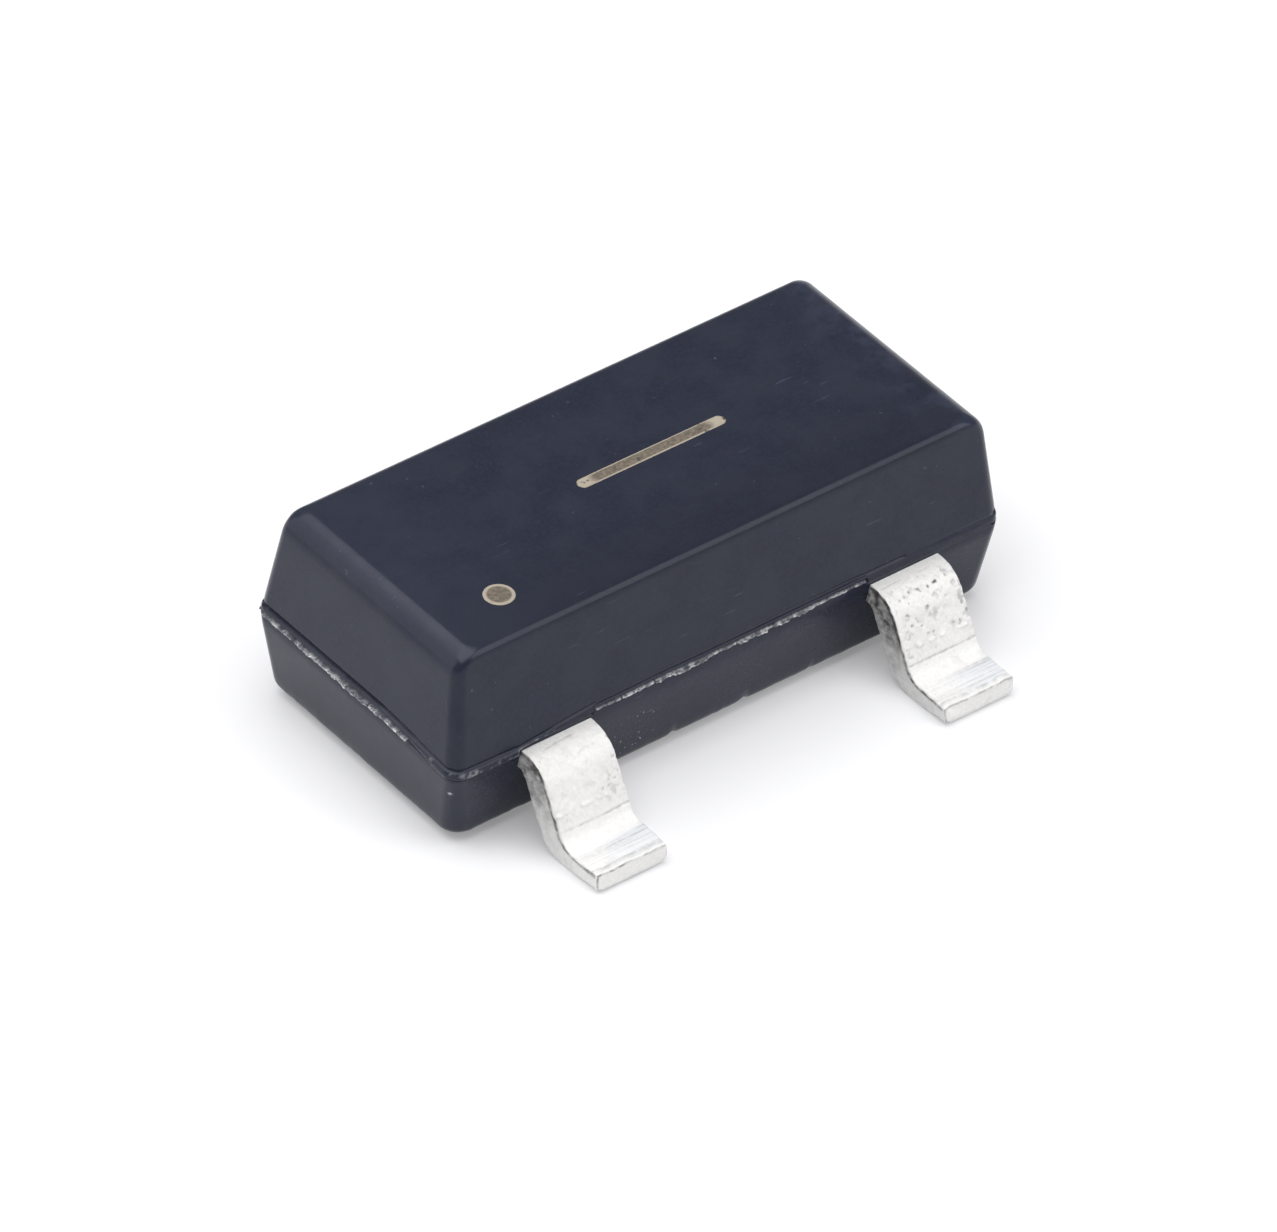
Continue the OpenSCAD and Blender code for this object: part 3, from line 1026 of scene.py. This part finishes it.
def mark_material():
    shader = MaterialNodes("laser_mark")
    grain = shader.patches(55.0, 0.3, 0.7, 3.0, 0.7)
    base = shader.mix(grain, colour(84, 76, 66), colour(118, 108, 95))
    base = shader.mix(shader.attribute("rim"), base, colour(162, 153, 138))
    burn = shader.patches(20.0, 0.62, 0.70, 2.0)
    base = shader.mix(burn, base, colour(72, 66, 60))
    relief = shader.bump(shader.noise(90.0, 3.0), 0.002, 0.5)
    return shader.principled(base, 0.8, relief, {})


def grained_material(name, dark, light, metallic, roughness, scale):
    """Plain inner finish with a fine grain."""
    shader = MaterialNodes(name)
    grain = shader.patches(scale, 0.3, 0.7, 3.0)
    base = shader.mix(grain, colour(*dark), colour(*light))
    rough = shader.patches(scale * 0.4, 0.3, 0.7, 2.0, to_low=roughness, to_high=roughness + 0.12)
    relief = shader.bump(shader.noise(scale * 1.5, 2.0), 0.001, 0.3)
    return shader.principled(base, rough, relief, {"Metallic": metallic})


# Laser mark: a dot beside the first lead and a plain bar
dot_radius = 0.075
dot_centre = (-1.02, -0.36)
bar_half = (0.42, 0.033)
bar_centre = (0.10, 0.02)
mark_steps = 160
mark_rings = 9
mark_sink = 0.002
mark_grain = 0.012
bead_steps = 5


def mark_patch(name, half_x, half_y, centre):
    """Raised patch with round ends and a beaded rim, lying on the top of the body."""
    radius = min(half_x, half_y)
    core = np.array([half_x - radius, half_y - radius])
    turn = 2 * math.pi * np.arange(mark_steps) / mark_steps
    direction = np.stack([np.cos(turn), np.sin(turn)], axis=1)
    bead = 0.5 + 0.5 * np.sin(np.arange(mark_steps) * 2 * math.pi / bead_steps)
    points = []
    rims = []
    for level, size in enumerate(np.linspace(1, 0.12, mark_rings)):
        share = 1 - level / (mark_rings - 1)
        ring = np.sign(direction) * core * (0.2 + 0.8 * size) + direction * radius * size
        if level == 0:
            height = np.full(mark_steps, body_top - mark_sink)
        else:
            rough = smooth_noise(ring[:, 0] / mark_grain, ring[:, 1] / mark_grain, 21)
            crown = 0.55 + 0.35 * (share > 0.6) * bead
            height = body_top + mark_height * 0.9 * np.clip(crown * (0.6 + 0.4 * rough), 0, 1)
        points.append(np.column_stack([ring + np.array(centre), height]))
        rims.append(np.full(mark_steps, float(share > 0.72)))
    faces = ring_faces(mark_rings, mark_steps)
    return mesh_object(name, np.concatenate(points), faces, {"rim": np.concatenate(rims)})


# Pieces
materials = {
    "epoxy": epoxy_material(),
    "tin_plate": tin_material(),
    "die_solder": grained_material("die_solder", (120, 121, 124), (160, 161, 165), 0.9, 0.4, 60.0),
    "silicon": grained_material("silicon", (84, 88, 102), (104, 108, 124), 0.6, 0.12, 25.0),
    "bond_gold": grained_material("bond_gold", (214, 168, 74), (236, 194, 98), 1.0, 0.25, 90.0),
}
mark_finish = mark_material()


def dress(piece, material):
    """Gives a new piece its finish and lets it ride with the part."""
    piece.data.materials.clear()
    piece.data.materials.append(material)
    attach(piece, "root")
    return piece


body = dress(make_body(), materials["epoxy"])
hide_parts("mould_body")

post_outer = half_width - post_side_cover
post_outline = ((base_high[0] - base_low[0]) / 2, post_outer - post_depth, post_outer)
paddle_outline = (paddle_high[0], paddle_low[1], -paddle_low[1])
LEADS = {
    "base": (post_outline, LeadFinish(row=30, pits=0.65, wrinkles=0.9, shear=0.95), -lead_x, -1),
    "emitter": (post_outline, LeadFinish(row=42, pits=1.0, wrinkles=1.2, shear=1.35), lead_x, -1),
    "collector": (paddle_outline, LeadFinish(row=54, pits=0.7, wrinkles=0.8, shear=0.7), 0.0, 1),
}
for name, (outline, finish, centre_x, outward) in LEADS.items():
    lead = make_lead(f"{name}_lead_plated", outline, finish, centre_x, outward)
    dress(lead, materials["tin_plate"])
    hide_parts(f"{name}_lead")

CARRIED = {
    "die_attach": "die_solder",
    "silicon_die": "silicon",
    "base_bond_wire": "bond_gold",
    "emitter_bond_wire": "bond_gold",
}
for node, slot in CARRIED.items():
    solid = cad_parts[node]
    solid.data.materials.clear()
    solid.data.materials.append(materials[slot])

dot = mark_patch("laser_dot", dot_radius, dot_radius, dot_centre)
bar = mark_patch("laser_bar", bar_half[0], bar_half[1], bar_centre)
for mark in (dot, bar):
    dress(mark, mark_finish)


# Stage
floor_half = 60.0
floor_drop = 0.001
paper_colour = (0.80, 0.80, 0.81, 1)
shaded_colour = (0.70, 0.70, 0.71, 1)
floor_glow = (0.21, 0.21, 0.212, 1)
horizon_height = 0.05
sky_height = 0.60
horizon_glow = 0.22
sky_glow = 0.40
sky_colour = (1.0, 1.0, 1.02, 1)
backdrop_height = 0.10
backdrop_fade = 0.06
backdrop_colour = (1, 1, 1, 1)

# Panels of light, in millimetres: place, aim, width, height and radiance
PANELS = {
    "overhead_panel": ((-7.5, 7.75, 36), (-7.5, 7.75, 0), 41, 43.5, 2.60),
    "back_left_panel": ((-27.4, 23.8, 16.9), (-1.2, 0, 0.6), 34, 26, 1.25),
    "front_panel": ((18, -24, 26), (0, -0.8, 0.3), 24, 28, 2.10),
    "low_front_panel": ((20, -34, 7), (0, -0.8, 0.3), 44, 18, 0.30),
}


def make_floor():
    """Pale paper, which keeps the shadow and glows a little for the camera and for reflections alike."""
    corners = ((-1, -1), (1, -1), (1, 1), (-1, 1))
    points = [(x * floor_half, y * floor_half, -floor_drop) for x, y in corners]
    floor = mesh_object("studio_floor", points, [(0, 1, 2, 3)])
    shader = Nodes(bpy.data.materials.new("studio_floor"), "OutputMaterial")
    paper = shader.node("BsdfDiffuse", {"Color": paper_colour}).outputs[0]
    shaded = shader.node("BsdfDiffuse", {"Color": shaded_colour}).outputs[0]
    glow = shader.node("Emission", {"Color": floor_glow, "Strength": 1.0}).outputs[0]
    lit = shader.node("AddShader", {0: shaded, 1: glow}).outputs[0]
    mixed = shader.node("MixShader", {0: shader.seen_rays(), 1: paper, 2: lit})
    floor.data.materials.append(shader.show(mixed))


def make_world():
    """Dim studio with a white backdrop round its horizon, for the camera and for reflections alike."""
    shader = Nodes(bpy.data.worlds.new("studio"), "OutputWorld")
    direction = shader.node("TexCoord").outputs["Generated"]
    height = shader.node("SeparateXYZ", {0: direction}).outputs["Z"]
    glow = shader.span(height, horizon_height, sky_height, horizon_glow, sky_glow, "LINEAR")
    dim = shader.node("Background", {"Color": sky_colour, "Strength": glow}).outputs[0]
    white = shader.node("Background", {"Color": backdrop_colour}).outputs[0]
    backdrop_end = backdrop_height + backdrop_fade
    backdrop = shader.span(height, backdrop_height, backdrop_end, 1.0, 0.0, "LINEAR")
    share = shader.math("MULTIPLY", shader.seen_rays(), backdrop)
    mixed = shader.node("MixShader", {0: share, 1: dim, 2: white})
    bpy.context.scene.world = shader.show(mixed)


def add_panel(name, place, aim, width, height, radiance):
    """Soft rectangular light; radiance is the brightness that a mirror would show."""
    light = bpy.data.lights.new(name, "AREA")
    light.shape = "RECTANGLE"
    light.size = width * MM
    light.size_y = height * MM
    light.energy = radiance * math.pi * width * height * MM * MM
    panel = bpy.data.objects.new(name, light)
    panel.location = Vector(place) * MM
    direction = Vector(aim) - Vector(place)
    panel.rotation_euler = direction.to_track_quat("-Z", "Y").to_euler()
    bpy.context.scene.collection.objects.link(panel)


def make_camera():
    azimuth, elevation, roll = (math.radians(v) for v in (camera_azimuth, camera_elevation, camera_roll))
    level = math.cos(elevation)
    back = Vector((math.sin(azimuth) * level, -math.cos(azimuth) * level, math.sin(elevation)))
    level_right = Vector((math.cos(azimuth), math.sin(azimuth), 0))
    level_up = back.cross(level_right)
    right = level_right * math.cos(roll) + level_up * math.sin(roll)
    up = level_up * math.cos(roll) - level_right * math.sin(roll)
    across = (aim_pixel[0] - picture_width / 2) / pixels_per_mm
    above = -(aim_pixel[1] - picture_height / 2) / pixels_per_mm
    place = Vector((0, 0, aim_height)) + back * camera_distance - right * across - up * above
    lens = bpy.data.cameras.new("photo_camera")
    lens.sensor_fit = "HORIZONTAL"
    lens.sensor_width = sensor_width
    lens.lens = pixels_per_mm * camera_distance / picture_width * sensor_width
    lens.clip_start = 0.001
    lens.clip_end = 10.0
    camera = bpy.data.objects.new("photo_camera", lens)
    turn = Matrix((right, up, back)).transposed().to_4x4()
    camera.matrix_world = Matrix.Translation(place * MM) @ turn
    bpy.context.scene.collection.objects.link(camera)
    bpy.context.scene.camera = camera


make_floor()
make_world()
for name, settings in PANELS.items():
    add_panel(name, *settings)
make_camera()
bpy.context.scene.view_settings.view_transform = "Standard"
